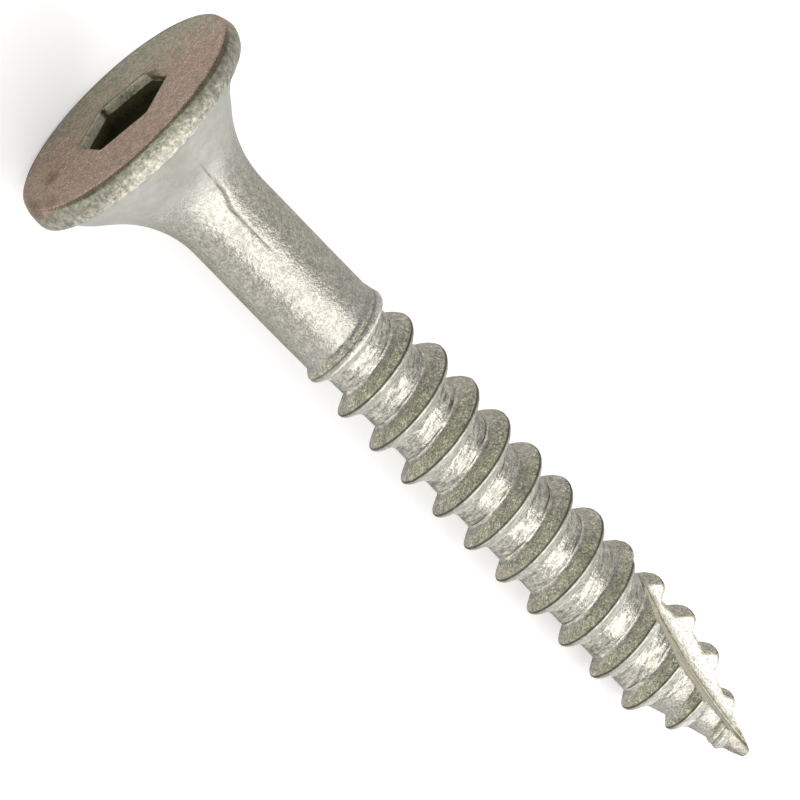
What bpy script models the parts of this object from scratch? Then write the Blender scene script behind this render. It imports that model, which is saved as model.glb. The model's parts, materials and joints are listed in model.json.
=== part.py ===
"""Batten screw: one forged, rolled and galvanised piece, lying on a flat surface.

The screw is built upright on its own axis, with the flat face of its bugle head at
height zero and its point straight below. A blank is turned from an outline, a ridge
carried round a helix is united with it as the thread, and two cutters take out the
hexagon socket and the flute at the point. The whole is then laid down, so that the
rim of the head and one crest of the thread touch the ground.
"""

import math

import bmesh
import bpy

MM = 0.001

# Lengths along the axis
OVERALL_LENGTH = 50.0 * MM      # face of the head to the tip of the point
PLAIN_LENGTH = 15.6 * MM        # face of the head to the first rise of the thread

# Bugle head
HEAD_DIAMETER = 14.3 * MM
RIM_HEIGHT = 1.38 * MM          # band round the edge of the head
RIM_SWELL_RADIUS = 2.1 * MM     # curve of that band, widest at its middle
RIM_EDGE_ROUND = 0.12 * MM      # between the face and the band
LEDGE_WIDTH = 0.6 * MM          # under the band, out from the cone
LEDGE_FALL = 0.1 * MM
BUGLE_ANGLE = math.radians(42.5)        # cone under the ledge, from the axis
BUGLE_RADIUS = 6.5 * MM         # hollow curve between the cone and the shank

# Hexagon socket
SOCKET_WIDTH = 5.2 * MM         # across the flats
SOCKET_DEPTH = 3.8 * MM
SOCKET_MOUTH = 0.1 * MM         # width and depth of the bevel at the mouth
SOCKET_BOTTOM = 0.6 * MM        # depth of the hollow punched into the floor

# Shank and thread
SHANK_DIAMETER = 5.24 * MM
ROOT_DIAMETER = 4.6 * MM
THREAD_DIAMETER = 6.45 * MM
THREAD_PITCH = 2.54 * MM
CREST_WIDTH = 0.2 * MM
ROOT_FILLET = 0.2 * MM
FLANK_ANGLE = math.radians(32.0)        # each flank, from a plane across the axis
SHOULDER_START = 1.3 * MM       # first rise of the thread to the end of the full shank
SHOULDER_LENGTH = 1.2 * MM      # cone from the shank down to the thread root
RUN_IN_LENGTH = 4.4 * MM        # over which the thread grows to its full height

# Point
POINT_LENGTH = 7.3 * MM         # tapered stretch of the core
CREST_TAPER_LENGTH = 7.2 * MM   # tapered stretch of the thread crest
CREST_TIP_RADIUS = 0.46 * MM    # the crest taper carried on to the very tip
NOSE_RADIUS = 0.35 * MM
THREAD_END_HEIGHT = 0.86 * MM   # tip of the point to the end of the thread
THREAD_FADE_LENGTH = 0.7 * MM   # over which the thread dies away at the point

# Flute, cut by the rim of a disc whose side face lies along the screw's axis
FLUTE_DISC_RADIUS = 38.0 * MM
FLUTE_DISC_OVERRUN = 0.6 * MM   # how far past the tip the disc cuts deepest
FLUTE_WEB = 0.34 * MM           # what the disc leaves beside the axis at its deepest
FLUTE_WALL_OFFSET = 0.05 * MM   # from the axis to the flute's wide wall

# Turn of each feature about the axis, from the upper side of the lying screw
SOCKET_TURN = math.radians(45.0)
FLUTE_TURN = math.radians(-42.8)
THREAD_END_TURN = math.radians(70.0)

# Fineness of the facets
STEPS_PER_TURN = 36
RIM_STEPS = 6
BUGLE_STEPS = 9
ROUND_STEPS = 3
DISC_STEPS = 240

HEAD_RADIUS = HEAD_DIAMETER / 2
SHANK_RADIUS = SHANK_DIAMETER / 2
ROOT_RADIUS = ROOT_DIAMETER / 2
CREST_RADIUS = THREAD_DIAMETER / 2
STEP_ANGLE = 2 * math.pi / STEPS_PER_TURN
OVERCUT = 1.0 * MM              # how far a cutter reaches past the surface it cuts


def arc(centre_r, centre_z, radius, start, end, steps):
    """Points of an arc in the plane of the outline, from one angle to another."""
    points = []
    for i in range(steps + 1):
        angle = start + (end - start) * i / steps
        points.append((centre_r + radius * math.cos(angle), centre_z + radius * math.sin(angle)))
    return points


def point_taper():
    """Slope angle of the core's cone, which touches the round nose and reaches the root."""
    run = POINT_LENGTH - NOSE_RADIUS
    return math.atan2(ROOT_RADIUS, run) - math.asin(NOSE_RADIUS / math.hypot(ROOT_RADIUS, run))


def blank_outline():
    """Radius and height of the screw without thread, socket or flute, from face to tip."""
    swell_half = (RIM_HEIGHT - RIM_EDGE_ROUND) / 2
    swell = math.asin(swell_half / RIM_SWELL_RADIUS)
    rim = arc(HEAD_RADIUS - RIM_SWELL_RADIUS, -RIM_HEIGHT + swell_half, RIM_SWELL_RADIUS,
              swell, -swell, RIM_STEPS)
    points = [(0.0, 0.0)]
    points += arc(rim[0][0] - RIM_EDGE_ROUND, -RIM_EDGE_ROUND, RIM_EDGE_ROUND,
                  math.pi / 2, 0.0, ROUND_STEPS)
    points += rim[1:]

    # The bugle's cone runs from the ledge to the hollow curve, which meets the shank at a tangent
    cone_r = points[-1][0] - LEDGE_WIDTH
    cone_z = points[-1][1] - LEDGE_FALL
    points.append((cone_r, cone_z))
    centre_r = SHANK_RADIUS + BUGLE_RADIUS
    cone_width = cone_r - centre_r + BUGLE_RADIUS * math.cos(BUGLE_ANGLE)
    centre_z = cone_z - cone_width / math.tan(BUGLE_ANGLE) - BUGLE_RADIUS * math.sin(BUGLE_ANGLE)
    points += arc(centre_r, centre_z, BUGLE_RADIUS, math.pi - BUGLE_ANGLE, math.pi, BUGLE_STEPS)

    shoulder = PLAIN_LENGTH + SHOULDER_START
    points.append((SHANK_RADIUS, -shoulder))
    points.append((ROOT_RADIUS, -(shoulder + SHOULDER_LENGTH)))
    points.append((ROOT_RADIUS, POINT_LENGTH - OVERALL_LENGTH))

    points += arc(0.0, NOSE_RADIUS - OVERALL_LENGTH, NOSE_RADIUS,
                  -point_taper(), -math.pi / 2, ROUND_STEPS)
    points[-1] = (0.0, -OVERALL_LENGTH)
    return points


def core_radius(outline, z):
    """Radius of the blank at a height, read between the outline's points."""
    for (r_above, z_above), (r_below, z_below) in zip(outline, outline[1:]):
        if z_below <= z <= z_above and z_above > z_below:
            return r_above + (r_below - r_above) * (z_above - z) / (z_above - z_below)
    return NOSE_RADIUS


def crest_radius(z):
    """Radius of the thread's crest at a height, which narrows along the point."""
    above_tip = z + OVERALL_LENGTH
    share = min(above_tip / CREST_TAPER_LENGTH, 1.0)
    return CREST_TIP_RADIUS + (CREST_RADIUS - CREST_TIP_RADIUS) * share


def collection(name):
    """A new collection in the scene."""
    group = bpy.data.collections.new(name)
    bpy.context.scene.collection.children.link(group)
    return group


def mesh_object(name, mesh, group):
    """A new object in a collection that shows a mesh."""
    obj = bpy.data.objects.new(name, mesh)
    group.objects.link(obj)
    return obj


def profile_mesh(name, points, turn, closed=False):
    """A wire of vertices in the upright plane that stands at one angle about the axis."""
    vertices = [(r * math.cos(turn), r * math.sin(turn), z) for r, z in points]
    edges = [(i, i + 1) for i in range(len(points) - 1)]
    if closed:
        edges.append((len(points) - 1, 0))
    mesh = bpy.data.meshes.new(name)
    mesh.from_pydata(vertices, edges, [])
    return mesh


def turned(name, points, turn, steps, group):
    """A solid of revolution, or a prism with a few sides, from an outline's points."""
    obj = mesh_object(name, profile_mesh(name, points, turn), group)
    screw = obj.modifiers.new("Turn", "SCREW")
    screw.steps = steps
    screw.render_steps = steps
    screw.use_merge_vertices = True
    screw.merge_threshold = 0.00001
    return obj


def applied(obj):
    """The object with its modifiers worked into its mesh."""
    bpy.context.view_layer.update()
    evaluated = obj.evaluated_get(bpy.context.evaluated_depsgraph_get())
    mesh = bpy.data.meshes.new_from_object(evaluated)
    obj.modifiers.clear()
    obj.data = mesh
    return obj


def tooth_section():
    """Offset along the axis and share of the height of each point round one tooth.

    The crest is slightly rounded, the flanks are straight and end in a fillet, and
    the base is marked None because it is buried in the core.
    """
    depth = CREST_RADIUS - ROOT_RADIUS
    slope = math.tan(FLANK_ANGLE)
    half_crest = CREST_WIDTH / 2
    rounding = half_crest / depth
    fillet = ROOT_FILLET / depth
    half = [
        (half_crest * 0.6, 1.0),
        (half_crest + rounding * depth * slope, 1.0 - rounding),
        (half_crest + (1.0 - fillet) * depth * slope, fillet),
    ]
    foot = half[-1][0] + ROOT_FILLET
    half.append((foot, -fillet / 3))
    half.append((foot, None))
    return [(-x, h) for x, h in reversed(half)] + half


def thread_strength(z):
    """Share of the thread's height at a height, less than one where it starts and ends."""
    below_start = max(-z - PLAIN_LENGTH, 0.0)
    run_in = 0.3 + 0.7 * math.sqrt(min(below_start / RUN_IN_LENGTH, 1.0))
    above_end = max(z + OVERALL_LENGTH - THREAD_END_HEIGHT, 0.0)
    fade = 0.1 + 0.9 * min(above_end / THREAD_FADE_LENGTH, 1.0)
    return min(run_in, fade)


def thread_ridge(outline, group):
    """The thread: one tooth carried up a helix, then drawn in along the point and run-in.

    The Screw modifier lays the rings of the section one after another, so a vertex's
    number tells which step of the helix it belongs to and which point of the section.
    """
    section = tooth_section()
    depth = CREST_RADIUS - ROOT_RADIUS
    start_z = THREAD_END_HEIGHT - OVERALL_LENGTH
    turns = (-PLAIN_LENGTH - start_z) / THREAD_PITCH
    steps = math.ceil(turns * STEPS_PER_TURN)

    wire = [(ROOT_RADIUS + depth * (h or 0.0), start_z + x) for x, h in section]
    obj = mesh_object("thread_ridge", profile_mesh("thread_ridge", wire, 0.0, True), group)
    screw = obj.modifiers.new("Helix", "SCREW")
    screw.angle = steps * STEP_ANGLE
    screw.screw_offset = steps * THREAD_PITCH / STEPS_PER_TURN
    screw.steps = steps + 1
    screw.render_steps = steps + 1
    applied(obj)

    for vertex in obj.data.vertices:
        step, number = divmod(vertex.index, len(section))
        x, h = section[number]
        centre_z = start_z + step * THREAD_PITCH / STEPS_PER_TURN
        core = core_radius(outline, centre_z)
        height = crest_radius(centre_z) - core
        z = centre_z + x * (0.45 + 0.55 * min(height / depth, 1.0))
        core = core_radius(outline, z)
        radius = core * 0.72
        if h is not None:
            buried = core * 0.85
            radius = buried + (core + height * h - buried) * thread_strength(centre_z)
        turn = THREAD_END_TURN + step * STEP_ANGLE
        vertex.co = (radius * math.cos(turn), radius * math.sin(turn), z)

    bm = bmesh.new()
    bm.from_mesh(obj.data)
    bmesh.ops.holes_fill(bm, edges=[edge for edge in bm.edges if edge.is_boundary])
    bmesh.ops.recalc_face_normals(bm, faces=bm.faces)
    bm.to_mesh(obj.data)
    bm.free()
    return obj


def socket_cutter(group):
    """A six-sided plug with a bevel at its mouth and a shallow point at its bottom."""
    corner = SOCKET_WIDTH / 2 / math.cos(math.pi / 6)
    bevel = SOCKET_MOUTH / math.cos(math.pi / 6)
    points = [
        (0.0, OVERCUT),
        (corner + bevel * (1.0 + OVERCUT / SOCKET_MOUTH), OVERCUT),
        (corner, -SOCKET_MOUTH),
        (corner, -SOCKET_DEPTH),
        (0.0, -SOCKET_DEPTH - SOCKET_BOTTOM),
    ]
    return turned("socket_cutter", points, SOCKET_TURN, 6, group)


def flute_cutter(group):
    """The disc that cuts the flute: its rim makes the narrow wall, its side the wide one."""
    thickness = THREAD_DIAMETER
    bm = bmesh.new()
    bmesh.ops.create_cone(bm, cap_ends=True, segments=DISC_STEPS, radius1=FLUTE_DISC_RADIUS,
                          radius2=FLUTE_DISC_RADIUS, depth=thickness)
    mesh = bpy.data.meshes.new("flute_cutter")
    bm.to_mesh(mesh)
    bm.free()
    obj = mesh_object("flute_cutter", mesh, group)

    # The disc's own axis is turned level, and points away from the flute's wide wall
    obj.rotation_euler = (0.0, math.pi / 2, FLUTE_TURN)
    outward = FLUTE_WALL_OFFSET + thickness / 2
    sideways = FLUTE_WEB + FLUTE_DISC_RADIUS
    across = FLUTE_TURN + math.pi / 2
    obj.location = (
        outward * math.cos(FLUTE_TURN) + sideways * math.cos(across),
        outward * math.sin(FLUTE_TURN) + sideways * math.sin(across),
        -OVERALL_LENGTH - FLUTE_DISC_OVERRUN,
    )
    return obj


def combine(body, tool, operation):
    """Unite a tool with the body or cut it out, and leave the tool as a wire guide."""
    boolean = body.modifiers.new(tool.name, "BOOLEAN")
    boolean.operation = operation
    boolean.object = tool
    tool.hide_render = True
    tool.display_type = "WIRE"


def zinc():
    """Dull hot-dip zinc on steel."""
    material = bpy.data.materials.new("zinc_coating")
    material.use_nodes = True
    shader = material.node_tree.nodes["Principled BSDF"]
    shader.inputs["Base Color"].default_value = (0.52, 0.51, 0.47, 1.0)
    shader.inputs["Metallic"].default_value = 0.9
    shader.inputs["Roughness"].default_value = 0.45
    return material


def resting_slope():
    """Fall of the axis towards the point, over the rim and the thread crest it lies on.

    The lower side of the lying screw stands half a turn from its upper side. The thread
    crosses it once in each pitch, and the crest that reaches the ground first counts.
    """
    rim = HEAD_RADIUS * math.cos(STEP_ANGLE / 2)
    rim_z = -(RIM_HEIGHT + RIM_EDGE_ROUND) / 2
    share = (math.pi - THREAD_END_TURN) / (2 * math.pi) % 1.0
    slopes = []
    z = THREAD_END_HEIGHT - OVERALL_LENGTH + share * THREAD_PITCH
    while z < -PLAIN_LENGTH - RUN_IN_LENGTH:
        slopes.append((rim - crest_radius(z)) / (rim_z - z))
        z += THREAD_PITCH
    return min(slopes)


def lay_down(objects, outline):
    """Hang everything on one empty, turned and moved so that the screw lies at rest.

    The ground touches the rim of the head, and the middle of the screw's box stands
    over the origin. The empty carries the upright screw's face of the head.
    """
    tilt = math.atan(resting_slope())
    facet = math.cos(STEP_ANGLE / 2)
    lower = []
    ends = []
    for r, z in outline:
        lower.append(-z * math.sin(tilt) + r * facet * math.cos(tilt))
        ends.append(-z * math.cos(tilt) - r * facet * math.sin(tilt))
        ends.append(-z * math.cos(tilt) + r * facet * math.sin(tilt))

    frame = bpy.data.objects.new("lying_frame", None)
    bpy.context.scene.collection.objects.link(frame)
    frame.rotation_euler = (0.0, tilt - math.pi / 2, 0.0)
    frame.location = (-(min(ends) + max(ends)) / 2, 0.0, max(lower))
    for obj in objects:
        obj.parent = frame


def main():
    for obj in list(bpy.data.objects):
        bpy.data.objects.remove(obj)

    parts = collection("batten_screw_parts")
    tools = collection("construction")

    outline = blank_outline()
    screw = applied(turned("batten_screw", outline, STEP_ANGLE / 2, STEPS_PER_TURN, parts))
    screw.data.shade_smooth()
    screw.data.set_sharp_from_angle(angle=math.radians(35.0))
    screw.data.materials.append(zinc())

    ridge = thread_ridge(outline, tools)
    socket = socket_cutter(tools)
    flute = flute_cutter(tools)
    combine(screw, ridge, "UNION")
    combine(screw, flute, "DIFFERENCE")
    combine(screw, socket, "DIFFERENCE")

    lay_down([screw, ridge, socket, flute], outline)


main()
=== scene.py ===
"""Looks of the batten screw: its fine surface, zinc finish, light and camera.

The whole screw is one surface on a grid. Its rows run round the axis from the floor of
the hexagon socket, over the head and down to the tip, and in the thread they follow
the helix, so that every crest lies on a line of the mesh. A place on the screw is its
depth below the face of the head, its turn about the axis from the upper side of the
lying screw, and its radius, all in millimetres and radians.
"""

import json
import math

import bpy
import numpy as np
from mathutils import Matrix, Vector


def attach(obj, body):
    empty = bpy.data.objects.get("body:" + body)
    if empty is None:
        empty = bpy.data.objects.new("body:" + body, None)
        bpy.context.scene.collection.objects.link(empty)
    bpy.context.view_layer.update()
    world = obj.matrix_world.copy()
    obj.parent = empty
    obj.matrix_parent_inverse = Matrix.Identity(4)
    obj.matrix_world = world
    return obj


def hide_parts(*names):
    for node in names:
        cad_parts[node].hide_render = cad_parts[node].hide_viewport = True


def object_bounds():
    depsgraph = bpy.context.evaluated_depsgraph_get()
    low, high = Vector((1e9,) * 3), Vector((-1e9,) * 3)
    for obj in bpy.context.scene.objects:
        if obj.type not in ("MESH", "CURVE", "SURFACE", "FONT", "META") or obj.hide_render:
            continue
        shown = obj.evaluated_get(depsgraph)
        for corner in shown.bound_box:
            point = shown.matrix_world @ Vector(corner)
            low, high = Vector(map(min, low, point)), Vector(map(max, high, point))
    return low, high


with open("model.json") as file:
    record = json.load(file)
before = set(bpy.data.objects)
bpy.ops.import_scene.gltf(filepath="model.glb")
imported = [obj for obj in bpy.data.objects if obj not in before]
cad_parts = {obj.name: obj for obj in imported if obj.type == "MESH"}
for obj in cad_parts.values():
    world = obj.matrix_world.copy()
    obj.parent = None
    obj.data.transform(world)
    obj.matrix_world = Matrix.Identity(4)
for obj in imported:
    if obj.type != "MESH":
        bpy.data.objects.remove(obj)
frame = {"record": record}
cad_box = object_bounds()

MM = 0.001

# Sizes of the head, shank and socket, in millimetres
OVERALL_LENGTH = 49.76
HEAD_RADIUS = 7.11
FACE_RADIUS = 6.8
RIM_EDGE = 0.2
RIM_HEIGHT = 1.38
RIM_SWELL = 0.11
RIM_WIDEST = 1.1
RIM_TOP_RADIUS = HEAD_RADIUS - RIM_SWELL * RIM_WIDEST ** 2
BUGLE_RADIUS = 6.5
BUGLE_END = 8.1
BUGLE_SLOPE = math.radians(42.5)
LEDGE_END = 1.5
SHANK_RADIUS = 2.61
SOCKET_TURN = math.radians(45.0)
SOCKET_HALF_WIDTH = 2.66
SOCKET_STEP = 0.05
SOCKET_STEP_DEPTH = 0.62
SOCKET_STEP_SLOPE = 0.06
SOCKET_CORNER = 0.05  # how much is off each corner of the hexagon
SOCKET_DEPTH = 3.8
SOCKET_BOTTOM = 0.5
SOCKET_MOUTH = 0.06
MOUNT_RADIUS = 4.8
BOW = 0.135  # how far the shaft is bowed, and how much more in its middle
BOW_MIDDLE = 0.07
UPSET_SHIFT = 0.34  # how far the bugle was upset to the other side

# Marks of making and wear on the head: turns of their middles, and millimetres
BROKEN_TURN = math.radians(75.0)  # the edge of the mouth that a key has pushed down
BROKEN_REACH = math.radians(35.0)
BROKEN_DOWN = 0.1
BROKEN_IN = 0.07
RIM_FLAT_TURN = math.radians(24.0)
RIM_FLAT_DEPTH = 0.15
RIM_PITS = 0.03
SEAM_TURN = math.radians(-14.4)
SEAM_BEND = math.radians(7.4)
SEAM_BEND_DEPTH = 5.9
SEAM_DEPTH = 0.06
GREY_TURN = math.radians(130.0)  # the side on which the brown face is greyer
PATCH_TURN = math.radians(-130.0)  # the side on which it is blotted
OUTLINE_TURN = math.radians(150.0)  # the side of the mouth with a dark edge
PALE_WALL_TURN = math.radians(135.0)  # a pale wall of the socket, whose painted light is greyer and olive
CORNER_TURN = math.radians(165.0)  # the dark corner beside it, painted shade
SHADE_TURN = math.radians(20.0)  # where the painted shade on the rim's edge is wider
LOW_SHADE_TURN = math.radians(-64.0)

# Dark spots on the face: turn in degrees, radius and reach
FACE_SPOTS = ((-123.0, 5.0, 0.8), (-94.0, 6.5, 0.9), (-108.0, 6.9, 1.1), (62.0, 6.8, 0.7))

# Sizes of the thread and point, in millimetres
PITCH = 2.54
ROOT_RADIUS = 2.21
ROOT_RADIUS_LOW = 2.38
CREST_RADIUS = 3.21
CREST_RADIUS_LOW = 3.13
THREAD_START = 15.62
THREAD_FULL = 21.5
CONE_LENGTH = 7.1
CREST_CONE_LENGTH = 6.85
NOSE_RADIUS = 0.35
NOSE_SWELL = 0.06
FLANK_RUN = 0.6  # lengths of the tooth's sides along the axis
HOLLOW_RUN = 0.68
FILLET_RUN = 0.85
FIRST_RISE = 0.42  # share of its height that the first ridge gains soon
CREST_FLAT = 0.035
CREST_SLOPE = 0.37
CREST_BEND = 0.0018
COLLAR_START = 46.9
COLLAR_FLAT = 0.22
THREAD_END_HEIGHT = 1.3
FOLD_DEPTH = 0.16  # share of the first ridge's height
CREST_AT_PHOTO_TOP = 0.947  # depth of a crest at the photograph's upper side
PHOTO_TOP = math.radians(60.0)  # turn of that side

# The flute, cut by the rim of a disc
FLUTE_TURN = math.radians(-42.8)
DISC_RADIUS = 38.0
DISC_OVERRUN = 0.84
FLUTE_WEB = 0.34
WALL_OFFSET = 0.05
FLUTE_EDGE = 0.03
FLUTE_WALLS_START = 37.6
FLUTE_COLUMNS_START = OVERALL_LENGTH - 14.6

# Marks of rolling on the thread: millimetres
CHIP_DEPTH = 0.017
LUMP_DEPTH = 0.008
LINE_DEPTH = 0.03
BARE_END = 43.5  # depth where the roots' bright skin ends
DENTS = 150
DENT_SEED = 7
NOSE_START = 47.9  # depth where the nose's stain starts
NOSE_BLOT = 0.5
NOSE_STAIN = 0.34

# Noises on the surface: size of the features in millimetres, and seed
MOTTLES = (0.55, 3)
MOUTH_NOTCHES = (0.45, 11)
BREAKS = (0.9, 5)
LUMPS = (0.34, 1)
CHIPS = (0.28, 9)
PATCHES = (1.3, 8)

# Strips along a crest: middle of each by its offset from the crest, and half width
CREST_STRIP = (-0.01, 0.1)
STAIN_STRIP = (0.19, 0.16)
FOOT_STRIP = (-0.68, 0.1)
HEAD_LINE_STRIP = (-0.8, 0.07)
TIP_LINE_STRIP = (1.12, 0.06)
COLLAR_HEAD_STRIP = (-0.36, 0.1)
COLLAR_TIP_STRIP = (0.4, 0.08)

# The grid
COLUMNS = 156
ROWS_PER_PITCH = 34
THREAD_ROWS_START = 15.344
THREAD_ROWS_END = 49.56
FIRST_COLUMN_TURN = SOCKET_TURN + math.pi
WALL_COLUMNS = 28

# The finish masks, four to an attribute
MASKS = 20
(FACE_MASK, FLANK, ROOT, CREST, WIDE_WALL, NARROW_WALL, SOCKET, RIM, LIT_LIP, LINES_AND_CORNER_SHADE, SEAM,
 BUGLE, LIT_BAND, LIT_FOOT, STAIN_AND_SHADE, OLIVE, SMOOTH, GREY, BLOT, OUTLINE) = range(MASKS)
MASK_LAYERS = ("thread_masks", "cut_masks", "detail_masks", "stain_masks", "grain_masks")
STREAK_LAYER = "streak_place"

# The finish: colour and roughness of the bare zinc, and of each zone in mixing order
ZINC_COLOUR = (0.42, 0.41, 0.375, 1.0)
ZINC_ROUGHNESS = 0.3
ZONES = (
    (FACE_MASK, (0.46, 0.35, 0.288, 1.0), 0.48),
    (GREY, (0.43, 0.395, 0.32, 1.0), 0.48),
    (RIM, (0.375, 0.36, 0.31, 1.0), 0.46),
    (BUGLE, (0.41, 0.40, 0.36, 1.0), 0.27),
    (SMOOTH, (0.44, 0.44, 0.415, 1.0), 0.3),
    (ROOT, (0.47, 0.46, 0.415, 1.0), 0.23),
    # painted light: the tip side of each ridge is given a pale colour, as if lit from beyond
    # the tip
    (LIT_BAND, (0.67, 0.67, 0.63, 1.0), 0.34),
    # painted highlight: a pale line along the foot of each flank that faces the head
    (LIT_FOOT, (0.62, 0.61, 0.54, 1.0), 0.3),
    (FLANK, (0.55, 0.515, 0.455, 1.0), 0.5),
    (CREST, (0.13, 0.12, 0.095, 1.0), 0.55),
    (WIDE_WALL, (0.66, 0.655, 0.61, 1.0), 0.4),
    (NARROW_WALL, (0.54, 0.52, 0.45, 1.0), 0.6),
    (OUTLINE, (0.31, 0.265, 0.18, 1.0), 0.5),
    # drawn lines on the roots, and painted shade towards the flute's corner
    (LINES_AND_CORNER_SHADE, (0.16, 0.14, 0.10, 1.0), 0.5),
    # painted shade in the crease along the bugle and the shank
    (SEAM, (0.22, 0.205, 0.165, 1.0), 0.45),
    # painted light: the socket's wall above its step is near white, as if lit through the
    # mouth
    (LIT_LIP, (0.95, 0.90, 0.76, 1.0), 0.6),
    # painted shade: the socket below its step is near black
    (SOCKET, (0.09, 0.085, 0.045, 1.0), 0.7),
    # painted shade on the rim's edge; on the thread a dark strip past each crest, and on the
    # nose a stain
    (STAIN_AND_SHADE, (0.15, 0.135, 0.10, 1.0), 0.5),
)
SOFT_BORDERS = (GREY, SMOOTH)
SCRATCH_COLOUR = (0.66, 0.58, 0.52, 1.0)
BLOT_COLOUR = (0.19, 0.135, 0.09, 1.0)
EDGE_TINT = (0.6, 0.6, 0.58, 1.0)
WHITE = (1.0, 1.0, 1.0, 1.0)
# an olive cast: partly the zinc's own tint, partly painted reflection of dark surroundings
OLIVE_CAST = (0.92, 1.0, 0.87, 1.0)
COOL_CAST = (0.985, 1.0, 0.985, 1.0)
WARM_CAST = (1.02, 0.995, 0.955, 1.0)

# Borders of the zones: the share of each noise, the most that noises add, so that no zone
# begins where its mask is zero, and the range of the sum
RAGGEDNESS = 0.7
RAGGED_MOST = 0.92
BORDER = (0.93, 1.35, 0.0, 1.0)
BLOT_RANGE = (1.86, 2.1, 0.0, 0.72)
SCRATCH_RANGE = (0.004, 0.014, 0.5, 0.0)

# How dull each zone's metal is, taken from that of the bare zinc
METALLIC = 0.92
DULLNESS = ((LIT_BAND, 0.5), (FLANK, 0.35), (SMOOTH, 0.34))

# Noises of the finish: size of the features in millimetres, detail, and shift in metres
NOISES = {
    "cloud": (0.7, 2.0, 0.011),
    "mottle": (0.33, 2.0, 0.023),
    "fleck": (0.17, 2.0, 0.031),
    "speck": (0.1, 2.0, 0.037),
    "dust": (0.055, 1.0, 0.041),
}

# The tones that noises give: name, the range taken from it, and the tones at its ends
BROAD_TONES = (("cloud", 0.3, 0.7, 0.9, 1.1), ("mottle", 0.3, 0.7, 0.86, 1.14))
GRAIN_TONES = (("fleck", 0.28, 0.72, 0.76, 1.24), ("speck", 0.28, 0.72, 0.76, 1.24))
DUST_TONES = (("dust", 0.28, 0.72, 0.72, 1.28),)
SMOOTH_TONES = (("mottle", 0.3, 0.7, 0.96, 1.04), ("cloud", 0.3, 0.7, 0.93, 1.07),
                ("speck", 0.3, 0.7, 0.94, 1.06))
ZONE_TONES = (
    (FACE_MASK, (("dust", 0.32, 0.68, 0.74, 1.26), ("speck", 0.3, 0.7, 0.88, 1.12))),
    (FLANK, (("dust", 0.32, 0.68, 0.66, 1.18), ("speck", 0.3, 0.7, 0.7, 1.18),
             ("fleck", 0.3, 0.7, 0.84, 1.14), ("cloud", 0.3, 0.7, 0.86, 1.12))),
    (RIM, (("mottle", 0.34, 0.66, 0.78, 1.2),)),
    (ROOT, (("streak", 0.32, 0.6, 0.42, 1.22),)),
    (LIT_BAND, (("streak", 0.3, 0.62, 0.54, 1.1),)),
    (WIDE_WALL, (("speck", 0.3, 0.6, 0.74, 1.1),)),
)

# How much longer streaks are round the screw than across a tooth
STREAK_STRETCH = 6.0

# The light: sizes in metres, turns about the screw's axis
KEY_TURN = math.radians(-35.0)
KEY_LEAN = math.radians(24.0)
KEY_DISTANCE = 0.42
KEY_SIZE = 0.62
KEY_RADIANCE = 1.72
TIP_LIGHT_RADIANCE = 0.95
TIP_LIGHT_LEAN = math.radians(13.0)
TIP_LIGHT_DISTANCE = 0.5
TIP_LIGHT_WIDTH = 0.7
TIP_LIGHT_HEIGHT = 0.62
SURROUND_HEAD = 0.27
SURROUND_TIP = 0.8
SURROUND_BACK = 0.14
SURROUND_COLOUR = (1.0, 0.99, 0.97, 1.0)
FLOOR_SIZE = 3.0
FLOOR_COLOUR = (0.88, 0.88, 0.88, 1.0)
FLOOR_ROUGHNESS = 0.9
FLOOR_LIFT = 0.36
FLOOR_LIFT_MIRRORED = 0.05

# The camera, in millimetres and radians
CAMERA_DISTANCE = 403.0
CAMERA_SIDE = math.radians(-30.0)  # turn of the side it looks at
CAMERA_LEAN = 0.3475  # from square to the axis towards the head
CAMERA_ROLL = 0.8019216
CAMERA_AIM = 21.74  # depth at the picture's centre
CAMERA_AIM_ACROSS = -0.098
FOCAL_PIXELS = 7752.0
PICTURE_PIXELS = 800.0
SENSOR_WIDTH = 36.0
CLIP_START = 20.0
CLIP_END = 20000.0


def screw_axes():
    """Face centre and directions of the screw, from the mount on the head's face.

    The axis points at the tip. Up is the screw's upper side, square to the axis, and
    across completes the turn from up.
    """
    mount = frame["record"]["mounts"][0]
    axis = -Vector(mount["axis"]).normalized()
    up = (Vector((0, 0, 1)) - axis * axis.z).normalized()
    across = up.cross(axis)
    face = Vector(mount["pos_m"]) - up * MOUNT_RADIUS * MM
    return face, axis, up, across


FACE, AXIS, UP, ACROSS = screw_axes()


def side(turn):
    """Direction square to the axis at a turn."""
    return UP * math.cos(turn) + ACROSS * math.sin(turn)


def step(x):
    """Zero below 0, one above 1, and a smooth S between."""
    x = np.clip(x, 0.0, 1.0)
    return x * x * (3.0 - 2.0 * x)


def between(start, end, share):
    """The value that lies a share of the way from one to another."""
    return start + (end - start) * share


def hump(x, centre, half_width):
    """A smooth bump of height one round a centre, zero beyond its half width."""
    return step(1.0 - np.abs(x - centre) / half_width)


def noise(points, size, seed):
    """Value noise from -1 to 1: random numbers at lattice corners, blended smoothly."""
    scaled = points / size
    cell = np.floor(scaled).astype(np.int64)
    part = scaled - cell
    part = part * part * (3.0 - 2.0 * part)
    total = np.zeros(points.shape[:-1])
    for corner in range(8):
        bits = np.array([corner & 1, corner >> 1 & 1, corner >> 2 & 1])
        key = (cell + bits).astype(np.uint64)
        mixed = key[..., 0] * np.uint64(73856093) ^ key[..., 1] * np.uint64(19349663)
        mixed ^= key[..., 2] * np.uint64(83492791) ^ np.uint64(seed * 2654435761)
        mixed = (mixed ^ mixed >> np.uint64(13)) * np.uint64(1274126177)
        mixed = (mixed ^ mixed >> np.uint64(16)) * np.uint64(2246822519)
        value = (mixed >> np.uint64(8) & np.uint64(65535)) / 32767.5 - 1.0
        weight = np.prod(np.where(bits == 1, part, 1.0 - part), axis=-1)
        total += value * weight
    return total


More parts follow.
